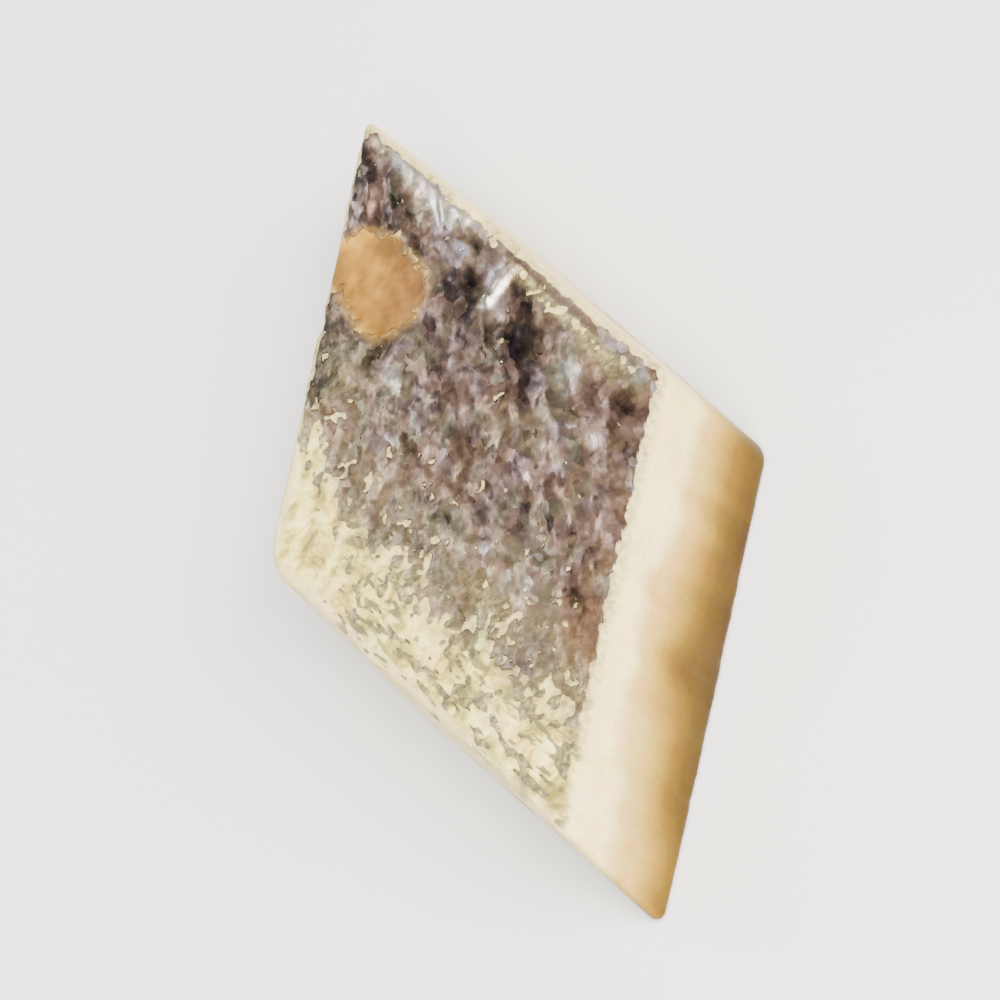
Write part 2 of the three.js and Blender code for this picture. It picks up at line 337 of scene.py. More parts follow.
# Patterns of the paste, each with its size across in millimetres, the detail, roughness and distortion of its
# noise, and the colours or greys along it
PASTE_PATTERNS = {
    # Clouds of paler and deeper cream
    "body": (3.0, 3.0, 0.6, 0.0, [(0.3, "#e0cf93"), (0.5, "#ebdca3"), (0.7, "#f3e7b8")]),
    # Grains of ground cashew
    "meal": (0.42, 3.0, 0.6, 0.0, [(0.28, "#a07c40"), (0.4, "#cbb173"), (0.62, "#efe0b0")]),
    # The rolled skin, curdled from olive hollows to pale yellow crumbs
    "curds": (
        1.9,
        4.0,
        0.64,
        0.5,
        [(0.36, "#8b8448"), (0.45, "#c2b164"), (0.53, "#ecdc86"), (0.62, "#fff5ac")],
    ),
    # A faint greenish and pinkish blush
    "blush": (2.4, 2.0, 0.5, 0.0, [(0.38, "#f6fbd8"), (0.62, "#ffeade")]),
    # Grey-brown crumbs under the leaf
    "bloom": (0.6, 4.0, 0.65, 0.4, [(0.36, "#7a6a4c"), (0.5, "#b5a272"), (0.64, "#dccb90")]),
    # The bare place: tan, partly its own colour and partly painted warm bounce light, and browner further
    # along the right-hand side
    "tan": (2.2, 3.0, 0.5, 0.0, [(0.35, "#80591a"), (0.5, "#a07222"), (0.65, "#bd8e36")]),
    "brown": (2.2, 3.0, 0.5, 0.0, [(0.35, "#573a16"), (0.5, "#724c20"), (0.65, "#8c6430")]),
    # Roughness of the oily skin
    "gloss": (2.2, 3.0, 0.5, 0.0, [(0.3, 0.36), (0.7, 0.52)]),
}
# How much of the meal, the blush and the bloom shows
MEAL_SHARE = 0.22
BLUSH_SHARE = 0.6
BLOOM_SHARE = 0.75
# Dark dashes that the sheet's lost end leaves on the paste, drawn out along the rolling
DASH_PATTERN = (0.5, 2.0, 0.5, 0.0, [(0.5, 0.0), (0.58, 0.9)])
DASH_STRETCH = 5
DASH_COLOUR = "#66624a"
# The golden foot's painted shade and painted gold reflection, from just above the middle of a side down to
# its bottom
FOOT_SHADE_TINTS = [
    (0.3, "#ffffff"),
    (0.42, "#d5c3a5"),
    (0.52, "#c8b185"),
    (0.62, "#aa944a"),
    (0.74, "#7a6320"),
    (0.84, "#5b4a10"),
    (1.0, "#45330a"),
]
# Grain that breaks up the shine of the skin, in the same form but without colours, and how much it does
CUT_GRAIN = (0.2, 3.0, 0.6, 0.0, None)
CUT_GRAIN_HEIGHT = 0.03
CUT_GRAIN_STRENGTH = 0.35
# Sugar syrup and fat: light bends as in oil, shines little and sinks in, red the furthest
PASTE_IOR = 1.46
PASTE_SHINE = 0.15
LIGHT_SHARE = 0.25
LIGHT_SPREAD = (1.0, 0.7, 0.4)
LIGHT_DEPTH = 1.0

# Facets of the crumpled leaf, in millimetres: size across, stretch, and how far their edges bend
SMALL_FACET = 0.8
LARGE_FACET = 1.2
FACET_STRETCH = 1.6
BEND_SIZE = 0.7
BEND_DETAIL = 2.5
BEND_REACH = 0.8
FACET_TILT = 0.17
# Patterns of the leaf, in the same form as the paste's
LEAF_GRIT = (0.6, 4.0, 0.55, 0.0, None)
LEAF_CLOUD = (2.6, 2.0, 0.5, 0.0, None)
WORN_PATTERN = (0.6, 4.0, 0.65, 0.4, [(0.36, "#544d33"), (0.52, "#857a4f"), (0.66, "#bfb077")])
FRINGE_PATTERN = (0.6, 4.0, 0.65, 0.4, [(0.36, "#634820"), (0.52, "#866226"), (0.66, "#a67c34")])
POLISH = (0.8, 3.0, 0.5, 0.0, [(0.35, 0.26), (0.65, 0.48)])
# Painted reflections: a facet in five is painted dark, as if it faced a dark corner of the room, and one in
# five is painted as a flash
PAINTED_FLASHES = [(0.0, 0.0), (0.2, 0.44), (0.8, 0.52), (1.0, 1.0)]
# What a facet's grey, partly painted reflection, adds up from: the least, then shares of its own number, of
# the large facet's, of grit, of the cloud and of its painted flash
DARKEST_TONE = 0.135
TONE_SHARES = (0.14, 0.12, 0.34, 0.22, 0.27)
# How much the painted glints and painted dark reflections weigh, at the least and by the facet's own number
PAINTED_GLINT_STRENGTH = 0.145
PAINTED_GLINT_STRAY = 0.09
# Silver with painted reflections, from a facet painted as in shadow to one painted as flashing, the facets'
# faint tints, and tarnish from cool to warm
SILVER_AND_PAINTED_REFLECTIONS = [(0.3, "#241d1e"), (0.48, "#4b403b"), (0.66, "#847367"), (0.84, "#ab9a8b"), (1.0, "#eae7e6")]
TINTS = [(0.08, "#d3c6d3"), (0.3, "#e0c8c4"), (0.5, "#e2c6b2"), (0.7, "#dccdae"), (0.92, "#c8d1bc")]
TINT_SHARE = 0.8
TARNISH = [(0.0, "#dfe8f8"), (0.5, "#ffffff"), (1.0, "#ffe2ba")]
# Metal in the whole leaf, and what it loses where it is worn or on the tan fringe
METAL = 0.92
METAL_LOST = 0.75
# Sharp wrinkles inside the facets, laid over the grit
WRINKLE_SIZE = 0.9
WRINKLE_SHARE = 0.5
WRINKLE_HEIGHT = 0.04
WRINKLE_STRENGTH = 0.4

TABLE_HALF = 900.0
TABLE_DROP = 0.02
TABLE_PATTERN = (40.0, 2.0, 0.5, 0.0, [(0.3, "#f1f0ed"), (0.7, "#f5f4f2")])
TABLE_ROUGHNESS = 0.7

# Settings of the nodes that lay colours over each other and work out numbers
LAID_OVER = {"data_type": "RGBA"}
TINTED = {"data_type": "RGBA", "blend_type": "MULTIPLY"}
PRODUCT = {"operation": "MULTIPLY"}
SHARE_ADDED = {"operation": "MULTIPLY_ADD"}
LARGER = {"operation": "MAXIMUM"}

# The view: directions towards the camera and up the picture, distance, height aimed at and lens
VIEW_TOWARDS = (0.301, -0.609, 0.733)
VIEW_UP = (0.507, 0.684, 0.524)
VIEW_DISTANCE = 512
VIEW_HEIGHT = 5.8
VIEW_LENS = 275.0
VIEW_SENSOR = 36.0
VIEW_CLIP = 10
# Soft boxes: direction, distance and width in metres, watts, tint
SOFT_LIGHTS = {
    "right_key": ((0.72, -0.38, 0.58), 0.8, 0.5, 16.6, "#fffaf2"),
    "front_fill": ((0.2, -0.5, 0.84), 0.9, 0.6, 22.0, "#fffdf8"),
    "back_glint": ((-0.5, 0.62, 0.6), 0.8, 0.3, 2.5, "#f2f6ff"),
}
ROOM_TINT = "#d9d8d6"
ROOM_STRENGTH = 0.72


def cut_corners():
    """The far, right, near and left-hand corners of the cut, with the knife's small errors."""
    diagonal = math.sqrt(
        RIGHT_SIDE**2 + LEFT_SIDE**2 + 2 * RIGHT_SIDE * LEFT_SIDE * math.cos(POINT_ANGLE)
    )
    half_width = RIGHT_SIDE * LEFT_SIDE * math.sin(POINT_ANGLE) / diagonal
    right_reach = diagonal / 2 - math.sqrt(RIGHT_SIDE**2 - half_width**2)
    true_corners = [
        (0, diagonal / 2),
        (half_width, right_reach),
        (0, -diagonal / 2),
        (-half_width, -right_reach),
    ]
    return np.array(true_corners) + CORNER_STRAY


CORNERS = cut_corners()
# The rolling and the flecks run along the near left-hand side
DASH_DIRECTION = math.atan2(*(CORNERS[2] - CORNERS[3])[::-1])


def corner_shares(p, q):
    """How much of each corner a point takes, for p and q from -1 to 1 across each pair of sides."""
    return np.stack([(1 - p) * (1 - q), (1 + p) * (1 - q), (1 + p) * (1 + q), (1 - p) * (1 + q)], -1) / 4


def at_shares(right, left):
    """The point of the face at these shares of the right-hand and left-hand sides."""
    return corner_shares(np.array(2 * right - 1), np.array(2 * left - 1)) @ CORNERS


def side_directions():
    """Unit directions along the four sides of the cut, and outwards from them."""
    along = np.roll(CORNERS, -1, axis=0) - CORNERS
    along /= np.linalg.norm(along, axis=1)[:, None]
    return along, np.stack([-along[:, 1], along[:, 0]], -1)


def inset_corners(insets):
    """The corners once each side of the cut is moved inwards by its own inset."""
    along, outwards = side_directions()
    through = CORNERS - outwards * np.asarray(insets)[:, None]
    moved = []
    for i in range(4):
        gap = through[i] - through[i - 1]
        cross_gap = gap[0] * along[i][1] - gap[1] * along[i][0]
        cross_along = along[i - 1][0] * along[i][1] - along[i - 1][1] * along[i][0]
        moved.append(through[i - 1] + along[i - 1] * cross_gap / cross_along)
    return np.array(moved)


MITRE = inset_corners([1.0] * 4) - CORNERS


def walk_shares(s):
    """Corner shares of the rounded outline at s, from 0 to 8, two units for each side."""
    side = np.floor(s / 2).astype(int) % 4
    along = s - 2 * np.floor(s / 2) - 1
    start, end = CORNER_ROUND[side], CORNER_ROUND[(side + 1) % 4]
    at_start = along < -1 + start
    at_end = along > 1 - end
    start_turn = np.where(at_start, (1 - (along + 1) / start) * math.pi / 4, 0)
    end_turn = np.where(at_end, (1 - (1 - along) / end) * math.pi / 4, 0)
    p = np.where(at_start, -1 + start * (1 - np.sin(start_turn)), along)
    p = np.where(at_end, 1 - end * (1 - np.sin(end_turn)), p)
    q = -1 + np.where(at_start, start * (1 - np.cos(start_turn)), 0)
    q = q + np.where(at_end, end * (1 - np.cos(end_turn)), 0)
    for turns in range(1, 4):
        turned = side >= turns
        p, q = np.where(turned, -q, p), np.where(turned, p, q)
    return corner_shares(p, q)


def walk_of(p, q):
    """Where on the walk a point of the square's rim lies."""
    s = np.where((q == -1) & (p < 1), p + 1, 7 - q)
    s = np.where((q == 1) & (p > -1), 5 - p, s)
    return np.where((p == 1) & (q < 1), 3 + q, s)


def walk_normal(s):
    """The outward direction of the side that s lies on."""
    outwards = side_directions()[1]
    return outwards[np.floor(s / 2).astype(int) % 4]


def lattice(i, j):
    """A number from -1 to 1 that looks random but is fixed for each lattice point."""
    raw = np.sin(i * 127.1 + j * 311.7) * 43758.5453
    return 2 * (raw - np.floor(raw)) - 1


def noise(x, y):
    """Value noise from -1 to 1, the same on every run and the same as the solid's."""
    x, y = np.asarray(x, float), np.asarray(y, float)
    i, j = np.floor(x), np.floor(y)
    u, v = ((t * t * (3 - 2 * t)) for t in (x - i, y - j))
    near = lattice(i, j) * (1 - u) + lattice(i + 1, j) * u
    far = lattice(i, j + 1) * (1 - u) + lattice(i + 1, j + 1) * u
    return near * (1 - v) + far * v


def ridge(x, y, line, half_width=CREASE_HALF_WIDTH):
    """A soft ridge, or a groove where the height is negative, between two points of the face."""
    right_a, left_a, right_b, left_b, height = line
    start, end = at_shares(right_a, left_a), at_shares(right_b, left_b)
    run = end - start
    share = np.clip(((x - start[0]) * run[0] + (y - start[1]) * run[1]) / (run @ run), 0, 1)
    away = np.hypot(x - start[0] - share * run[0], y - start[1] - share * run[1]) / half_width
    return height * np.exp(-away * away)


def bare_spot(x, y):
    """1 on the place that the leaf missed, 0 away from it."""
    dressed = 1
    for right, left, half_width in BARE_SPOTS:
        spot = at_shares(right, left)
        away = np.hypot(x - spot[0], y - spot[1]) / half_width
        dressed = dressed * (1 - np.exp(-(away**BARE_POWER)))
    return 1 - dressed


def face_relief(x, y):
    """Height of the rolled face over its plane: the pin's swell, cashew grain, folds and pressed marks."""
    swell = ROLL_SWELL * np.sin(x / ROLL_SWELL_SPAN[0] + ROLL_SWELL_START[0])
    swell = swell * np.cos(y / ROLL_SWELL_SPAN[1] + ROLL_SWELL_START[1])
    grain = noise(x / GRAIN_SIZE, y / GRAIN_SIZE)
    fine_x, fine_y = FINE_GRAIN_RATE * x / GRAIN_SIZE, FINE_GRAIN_RATE * y / GRAIN_SIZE
    grain = grain + FINE_GRAIN_SHARE * noise(fine_x + FINE_GRAIN_START, fine_y)
    folds = sum(ridge(x, y, line) for line in CREASES + PRESS_MARKS)
    bare = bare_spot(x, y)
    return swell + GRAIN_HEIGHT * grain * (1 - bare) + folds - BARE_DEPTH * bare


def side_swell(s, share):
    """How far the side stands out at a share of the height, 0 at the foot and 1 at the top."""
    fade = np.sin(math.pi * np.mod(s, 2) / 2)
    wave = SIDE_WAVE * noise(s * SIDE_WAVE_RATE[0] + SIDE_WAVE_START, share * SIDE_WAVE_RATE[1])
    drag = DRAG_MARK * noise(s * DRAG_MARK_RATE[0], DRAG_MARK_START + share * DRAG_MARK_RATE[1])
    return (BELLY * np.sin(math.pi * share) + wave + drag) * fade


def top_height(x, y, rho):
    """Height of the face, where rho runs from 0 in the middle to 1 at the rim."""
    calm = 1 - RIM_CALM * rho**RIM_CALM_POWER
    return THICKNESS - EDGE_SAG * rho**EDGE_SAG_POWER + face_relief(x, y) * calm


def turned_noise(x, y, size, turn):
    """Noise with features of this size in millimetres, on a lattice turned by this many radians."""
    c, s = math.cos(turn) / size, math.sin(turn) / size
    return noise(c * x - s * y + 5 * turn, s * x + c * y + 3 * turn)


def fine_grain(x, y):
    """Cashew grain too fine for the solid: beads from a millimetre down to a third of one."""
    beads = sum(height * turned_noise(x, y, size, turn) for height, size, turn in GRAIN_BEADS)
    return beads * (1 - BARE_SMOOTHING * bare_spot(x, y))


def knife_streaks(s, height):
    """Fine upright streaks and small pits that the blade leaves in the soft paste."""
    streak = sum(
        depth * noise(s * along + start, height * up + rise)
        for depth, along, start, up, rise in BLADE_STREAKS
    )
    pits = np.minimum(0, noise(s * PIT_RATE[0] + PIT_START, height * PIT_RATE[1]) + PIT_RARITY)
    return streak + PIT_DEPTH * pits


def edge_crumble(s):
    """How far the top edge has crumbled back, in scattered bites a millimetre or two long."""
    bites = np.maximum(0, noise(s * BITE_RATE + BITE_START[0], BITE_START[1]) - BITE_RARITY)
    rough = np.abs(noise(s * RIM_ROUGHNESS_RATE, RIM_ROUGHNESS_START))
    return BITE_DEPTH * bites + RIM_ROUGHNESS * rough


def face_skin(p, q):
    """Points of the dressed face for p and q on the square, past 1 they run on over the top edge."""
    rho = np.maximum(np.abs(p), np.abs(q))
    safe = np.where(rho == 0, 1, rho)
    s = np.where(rho == 0, 0.0, walk_of(snap(p / safe), snap(q / safe)))
    shares = walk_shares(s)
    rim = shares @ (CORNERS + MITRE * TOP_EDGE_RADIUS)
    inner = np.minimum(rho, 1)
    spot = rim * inner[..., None]
    z = top_height(spot[..., 0], spot[..., 1], inner)
    turn = np.clip((rho - 1) / LEAF_OVERHANG, 0, 1) * math.pi / 2
    over = shares @ MITRE * (TOP_EDGE_RADIUS * -np.sin(turn))[..., None]
    spot = spot + over
    z = z - TOP_EDGE_RADIUS * (1 - np.cos(turn))
    return np.concatenate([spot, z[..., None]], -1), s, rho


def snap(values):
    """Sets a value within rounding of 1 or -1 to it, so that the rim is found exactly."""
    near_one = np.abs(np.abs(values) - 1) < 1e-9
    return np.where(near_one, np.sign(values), values)


def grid_normals(points):
    """Upward unit normals of a grid of points."""
    rows = np.gradient(points, axis=0)
    columns = np.gradient(points, axis=1)
    normals = np.cross(rows, columns)
    return normals / np.linalg.norm(normals, axis=-1)[..., None]


def grid_quads(rows, columns):
    """Quads of a grid of points, facing up where rows run to the left and columns to the right."""
    index = np.arange(rows * columns).reshape(rows, columns)
    return np.stack([index[1:, :-1], index[1:, 1:], index[:-1, 1:], index[:-1, :-1]], -1).reshape(-1, 4)


def ring_quads(upper, lower):
    """Quads between two closed rings of point numbers."""
    return np.stack([upper, np.roll(upper, -1), np.roll(lower, -1), lower], -1)


def rim_of(index):
    """Point numbers round the rim of a square grid, in the order of the walk."""
    return np.concatenate([index[0, :-1], index[:-1, -1], index[-1, :0:-1], index[:0:-1, 0]])


def slab_skin():
    """The whole skin of the paste: face, top edge, sides, foot and base."""
    side = np.linspace(-1, 1, FACE_CELLS + 1)
    p, q = np.meshgrid(side, side)
    face, _, rho = face_skin(p, q)
    face[..., 2] += fine_grain(face[..., 0], face[..., 1])
    index = np.arange(face.shape[0] * face.shape[1]).reshape(face.shape[:2])
    rim = rim_of(index)
    points = [face.reshape(-1, 3)]
    quads = [grid_quads(*face.shape[:2])]
    s = 8 * np.arange(len(rim)) / len(rim)
    shares = walk_shares(s)
    outwards = walk_normal(s)
    shoulder = points[0][rim, 2] - TOP_EDGE_RADIUS
    along_side = np.sin(math.pi * np.mod(s, 2) / 2)
    crumble = edge_crumble(s) * along_side
    last = rim

    def join_ring(ring):
        """Adds a ring of points and the quads down to it from the last one."""
        nonlocal last
        start = sum(len(block) for block in points)
        index = np.arange(start, start + len(ring))
        points.append(ring)
        quads.append(ring_quads(last, index))
        last = index

    def cut_ring(inset, share, height):
        """Adds a ring round the cut sides at a share of their height, this far inside them."""
        cut = inset_corners(inset - FOOT_LEAN * (1 - share))
        marks = side_swell(s, share) + knife_streaks(s, height) * along_side
        bite = crumble * np.clip((share - CRUMBLE_FROM) / (1 - CRUMBLE_FROM), 0, 1)
        stands_out = marks * (1 - inset / TOP_EDGE_RADIUS) - bite
        spot = shares @ cut + outwards * stands_out[:, None]
        join_ring(np.concatenate([spot, height[:, None]], -1))

    for row in range(1, EDGE_ROWS + 1):
        turn = row / EDGE_ROWS * math.pi / 2
        height = shoulder + TOP_EDGE_RADIUS * math.cos(turn)
        cut_ring(TOP_EDGE_RADIUS * (1 - math.sin(turn)), 1, height)
    for row in range(1, SIDE_ROWS + 1):
        share = 1 - row / SIDE_ROWS
        cut_ring(0, share, FOOT_RADIUS + (shoulder - FOOT_RADIUS) * share)
    for row in range(1, FOOT_ROWS + 1):
        turn = row / FOOT_ROWS * math.pi / 2
        height = np.full(len(s), FOOT_RADIUS * (1 - math.sin(turn)))
        cut_ring(FOOT_RADIUS * (1 - math.cos(turn)), 0, height)
    base = points[-1]
    for shrink in BASE_RINGS:
        join_ring(base * (shrink, shrink, 1))
    hub = sum(len(block) for block in points)
    points.append(np.zeros((1, 3)))
    fan = np.stack([last, np.roll(last, -1), np.full(len(last), hub)], -1)
    return np.concatenate(points), np.concatenate(quads), fan


def make_piece(name, points, faces):
    """A mesh piece from points in millimetres and lists of faces."""
    mesh = bpy.data.meshes.new(name)
    mesh.from_pydata((points * MM).tolist(), [], faces)
    mesh.validate()
    mesh.shade_smooth()
    piece = bpy.data.objects.new(name, mesh)
    bpy.context.scene.collection.objects.link(piece)
    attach(piece, "root")
    return piece


def add_values(piece, name, values):
    """A number at each point of a piece, for its material to read."""
    attribute = piece.data.attributes.new(name, "FLOAT", "POINT")
    attribute.data.foreach_set("value", np.asarray(values, np.float32))


def smooth_step(low, high, value):
    t = np.clip((value - low) / (high - low), 0, 1)
    return t * t * (3 - 2 * t)


def side_shares(x, y):
    """Shares of the right-hand and left-hand sides at a point of the face."""
    far = CORNERS[0]
    sides = np.stack([CORNERS[1] - far, CORNERS[3] - far], -1)
    back = np.linalg.inv(sides)
    dx, dy = x - far[0], y - far[1]
    return back[0, 0] * dx + back[0, 1] * dy, back[1, 0] * dx + back[1, 1] * dy


def even_ranks(values):
    """Values replaced by their rank among all of them, from 0 to 1."""
    return np.argsort(np.argsort(values, axis=None)).reshape(values.shape) / values.size


def spread_from(place, right, left):
    """Squared distance from a soft place's middle, 1 at its half width or half height."""
    middle_right, middle_left, half_right, half_left, _ = place
    return ((right - middle_right) / half_right) ** 2 + ((left - middle_left) / half_left) ** 2


def leaf_density(right, left):
    """How much of the face the leaf covers near a point, from 0 to 1."""
    wander = sum(reach * noise(right * rate, start) for reach, rate, start in SHEET_WANDER)
    wander = wander + PATCH_WANDER * noise(right * PATCH_RATE[0] + PATCH_START, left * PATCH_RATE[1])
    ends, drops = np.array(SHEET_END).T
    places, shares = np.array(SHEET_FADE).T
    density = np.interp(left + wander + np.interp(right, ends, drops), places, shares)
    for place in THIN_PLACES:
        density = density - place[-1] * np.exp(-(spread_from(place, right, left) ** THIN_POWER))
    return density + HEM_STRENGTH * smooth_step(*HEM_BAND, right) * (1 - smooth_step(*HEM_END, left))


def leaf_cover(x, y, rho, s):
    """Above 0 where there is leaf: torn holes in the sheet, flecks and dashes past its end."""
    right, left = side_shares(x, y)
    holes = np.maximum(*(turned_noise(x, y, size, turn) for size, turn in TEARS))
    tongues = np.minimum(holes, TONGUE_START + TONGUE_LENGTH * turned_noise(x, y, *TONGUES))
    speckle = tongues + FRAY_SHARE * turned_noise(x, y, *FRAY)
    along, across = right * RIGHT_SIDE, left * LEFT_SIDE
    dashes = sum(
        share * noise(along / length + start[0], across / width + start[1])
        for length, width, start, share in DASHES
    )
    past_end = smooth_step(*PAST_END, left) * smooth_step(*PAST_CORNER, right)
    ranks = even_ranks(speckle * (1 - DASHES_CALM * past_end) + DASHES_SHARE * dashes * past_end)
    edge = rho + sum(reach * noise(s * rate, start) for reach, rate, start in RIM_RAGS)
    frayed = sum(reach * turned_noise(x, y, size, turn) for reach, size, turn in BARE_FRAY)
    missed = smooth_step(*BARE_BAND, bare_spot(x, y) + frayed)
    return leaf_density(right, left) - ranks - RIM_LOSS * smooth_step(*RIM_BAND, edge) - BARE_LOSS * missed


def crumple(x, y):
    """Height of the crumpled leaf over the paste: sharp valleys between small smooth blisters, and pleats."""
    pleats = sum(ridge(x, y, line, PLEAT_HALF_WIDTH) for line in PLEATS)
    return pleats + sum(height * np.abs(turned_noise(x, y, size, turn)) for height, size, turn in BLISTERS)


def clip_to_cover(points, quads, cover):
    """Keeps the part of a grid of quads where cover is above 0, cut along the line where it is 0."""
    triangles = np.concatenate([quads[:, [0, 1, 3]], quads[:, [1, 2, 3]]])
    inside = cover[triangles] > 0
    count = inside.sum(1)
    whole = triangles[count == 3]
    cut_edges = {}
    new_points = []

    def crossing(a, b):
        key = (a, b) if a < b else (b, a)
        if key not in cut_edges:
            share = cover[key[0]] / (cover[key[0]] - cover[key[1]])
            share = min(max(share, CUT_CLEARANCE), 1 - CUT_CLEARANCE)
            cut_edges[key] = len(points) + len(new_points)
            new_points.append(points[key[0]] * (1 - share) + points[key[1]] * share)
        return cut_edges[key]

    faces = whole.tolist()
    for triangle in triangles[(count == 1) | (count == 2)].tolist():
        kept = [bool(cover[corner] > 0) for corner in triangle]
        turn = kept.index(sum(kept) == 1)
        a, b, c = triangle[turn:] + triangle[:turn]
        ab, ca = crossing(a, b), crossing(c, a)
        if sum(kept) == 1:
            faces.append([a, ab, ca])
        else:
            faces.append([ab, b, c])
            faces.append([ab, c, ca])
    return np.concatenate([points, np.array(new_points).reshape(-1, 3)]), np.array(faces)


def drop_scraps(points, faces, least_faces):
    """The skin without its loose scraps of fewer faces than this and without unused points."""
    parent = np.arange(len(points))

    def root(i):
        while parent[i] != i:
            parent[i] = parent[parent[i]]
            i = parent[i]
        return i

    for a, b, c in faces.tolist():
        root_a = root(a)
        parent[root(b)] = root_a
        parent[root(c)] = root_a
    roots = np.array([root(a) for a in faces[:, 0].tolist()])
    sizes = np.bincount(roots, minlength=len(points))
    faces = faces[sizes[roots] >= least_faces]
    used, packed = np.unique(faces, return_inverse=True)
    return points[used], packed.reshape(-1, 3)


def close_sheet(points, faces, downwards):
    """Gives a skin an underside along downwards and joins the two along every free edge."""
    edges = np.concatenate([faces[:, [0, 1]], faces[:, [1, 2]], faces[:, [2, 0]]])
    keys = edges[:, 0] * len(points) + edges[:, 1]
    back_keys = edges[:, 1] * len(points) + edges[:, 0]
    free = edges[~np.isin(keys, back_keys)]
    count = len(points)
    under = faces[:, ::-1] + count
    walls = np.concatenate(
        [
            np.stack([free[:, 1], free[:, 0], free[:, 0] + count], -1),
            np.stack([free[:, 1], free[:, 0] + count, free[:, 1] + count], -1),
        ]
    )
    return np.concatenate([points, points + downwards]), np.concatenate([faces, under, walls])


def linear(code):
    """An sRGB hex colour as linear red, green and blue, with an alpha of 1."""
    parts = [int(code[i : i + 2], 16) / 255 for i in (1, 3, 5)]
    return tuple(c / 12.92 if c <= 0.04045 else ((c + 0.055) / 1.055) ** 2.4 for c in parts) + (1.0,)


def new_material(name):
    material = bpy.data.materials.new(name)
    material.use_nodes = True
    nodes = material.node_tree.nodes
    return material, nodes, nodes["Principled BSDF"]


def set_inputs(nodes, node, inputs):
    """Gives a node's inputs their plain values, or links them to the outputs of other nodes."""
    for key, value in inputs.items():
        if isinstance(value, bpy.types.NodeSocket):
            nodes.id_data.links.new(value, node.inputs[key])
        else:
            node.inputs[key].default_value = value


def set_stops(node, stops):
    """Sets a colour ramp's stops, each a place and a hex colour or a grey."""
    elements = node.color_ramp.elements
    while len(elements) < len(stops):
        elements.new(0.5)
    for element, (place, colour) in zip(elements, stops):
        element.position = place
        element.color = linear(colour) if isinstance(colour, str) else (colour, colour, colour, 1)


def add_node(nodes, kind, settings=None, inputs=None):
    """Adds a node with its settings, among them a ramp's stops, and its inputs."""
    node = nodes.new(kind)
    for key, value in (settings or {}).items():
        if key == "stops":
            set_stops(node, value)
        else:
            setattr(node, key, value)
    set_inputs(nodes, node, inputs or {})
    return node


def per_mm(size):
    """Texture scale that makes a pattern's features this many millimetres across."""
    return 1 / (size * MM)


def patterned(nodes, place, pattern):
    """A pattern at each point: noise of its size, drawn through its stops where it has any."""
    size, detail, roughness, distortion, stops = pattern
    scale = {"Scale": per_mm(size), "Detail": detail, "Roughness": roughness, "Distortion": distortion}
    drawn = add_node(nodes, "ShaderNodeTexNoise", inputs={"Vector": place, **scale}).outputs["Fac"]
    if stops:
        drawn = add_node(nodes, "ShaderNodeValToRGB", {"stops": stops}, {"Fac": drawn}).outputs["Color"]
    return drawn


def cut_cashew_paste():
    """Ground cashew and sugar paste, rolled and cut with a greased knife: a dense cream body that light sinks
    into a little, with faint grain, tan where it is bare, partly painted warm bounce light, painted shade and
    gold reflection towards the foot, and an oily gloss."""
    material, nodes, shader = new_material("cut_cashew_paste")
    place = add_node(nodes, "ShaderNodeTexCoord").outputs["Object"]
    held = {
        name: add_node(nodes, "ShaderNodeAttribute", {"attribute_name": name}).outputs["Fac"]
        for name in ("rolled", "dressed", "dashed", "toasted", "golden", "low")
    }
    drawn = {name: patterned(nodes, place, pattern) for name, pattern in PASTE_PATTERNS.items()}
    combed = add_node(
        nodes,
        "ShaderNodeMapping",
        {"vector_type": "TEXTURE"},
        {"Vector": place, "Rotation": (0, 0, DASH_DIRECTION), "Scale": (DASH_STRETCH, 1, 1)},
    ).outputs["Vector"]
    dashes = patterned(nodes, combed, DASH_PATTERN)
    dashed = add_node(nodes, "ShaderNodeMath", PRODUCT, {0: dashes, 1: held["dashed"]}).outputs[0]
    bloom = add_node(nodes, "ShaderNodeMath", PRODUCT, {0: held["dressed"], 1: BLOOM_SHARE}).outputs[0]
    browned = {0: held["toasted"], 6: drawn["tan"], 7: drawn["brown"]}
    bared = add_node(nodes, "ShaderNodeMix", LAID_OVER, browned).outputs[2]
    # The foot's golden brown: painted shade and painted gold reflection, darker towards the bottom
    foot_shade = add_node(nodes, "ShaderNodeValToRGB", {"stops": FOOT_SHADE_TINTS}, {"Fac": held["low"]})
    colour = drawn["body"]
    # From the body outwards: each layer's share, how it is laid and its colour
    for share, laid, layer in (
        (MEAL_SHARE, LAID_OVER, drawn["meal"]),
        (held["rolled"], LAID_OVER, drawn["curds"]),
        (BLUSH_SHARE, TINTED, drawn["blush"]),
        (bloom, LAID_OVER, drawn["bloom"]),
        (dashed, LAID_OVER, linear(DASH_COLOUR)),
        (held["golden"], LAID_OVER, bared),
        (1.0, TINTED, foot_shade.outputs["Color"]),
    ):
        colour = add_node(nodes, "ShaderNodeMix", laid, {0: share, 6: colour, 7: layer}).outputs[2]
    grain = patterned(nodes, place, CUT_GRAIN)
    relief = {"Height": grain, "Strength": CUT_GRAIN_STRENGTH, "Distance": CUT_GRAIN_HEIGHT * MM}
    looks = {
        "Base Color": colour,
        "Roughness": drawn["gloss"],
        "IOR": PASTE_IOR,
        "Specular IOR Level": PASTE_SHINE,
        "Subsurface Weight": LIGHT_SHARE,
        "Subsurface Radius": LIGHT_SPREAD,
        "Subsurface Scale": LIGHT_DEPTH * MM,
        "Normal": add_node(nodes, "ShaderNodeBump", inputs=relief).outputs["Normal"],
    }
    set_inputs(nodes, shader, looks)
    return material


